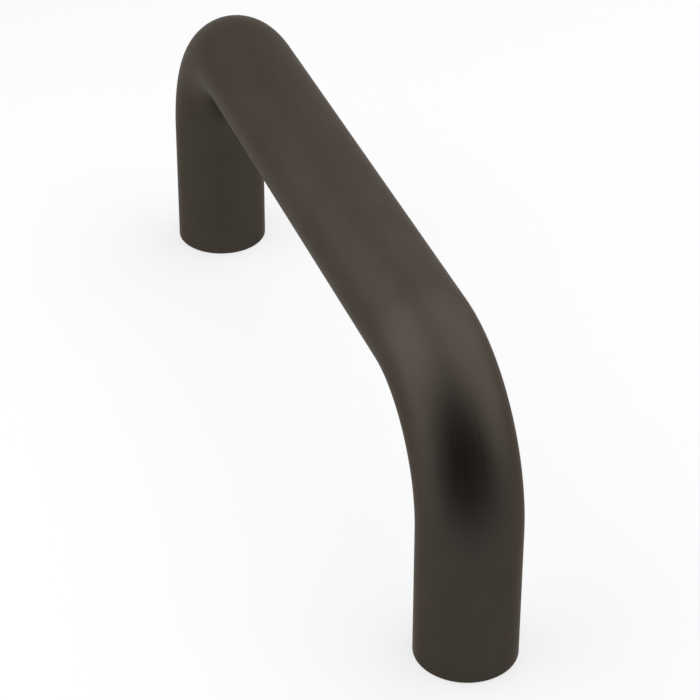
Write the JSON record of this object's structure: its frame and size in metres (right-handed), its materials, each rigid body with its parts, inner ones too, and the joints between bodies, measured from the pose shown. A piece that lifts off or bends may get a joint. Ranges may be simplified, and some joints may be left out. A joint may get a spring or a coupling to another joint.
{
  "type": "straight door pull",
  "caption": "Straight door pull: a round metal bar bent twice into a flat U, with a tapped blind hole in each square-cut foot.",
  "frame": {"origin": "on the mounting face, midway between the two feet", "axes": "+X along the grip, from foot to foot; +Z out from the door, from the mounting face to the grip"},
  "size_m": [0.1714, 0.019, 0.0619],
  "materials": {
    "dark_bronze": "satin, chemically darkened"
  },
  "bodies": {
    "root": {"pull_bar": "dark_bronze"}
  },
  "joints": []
}
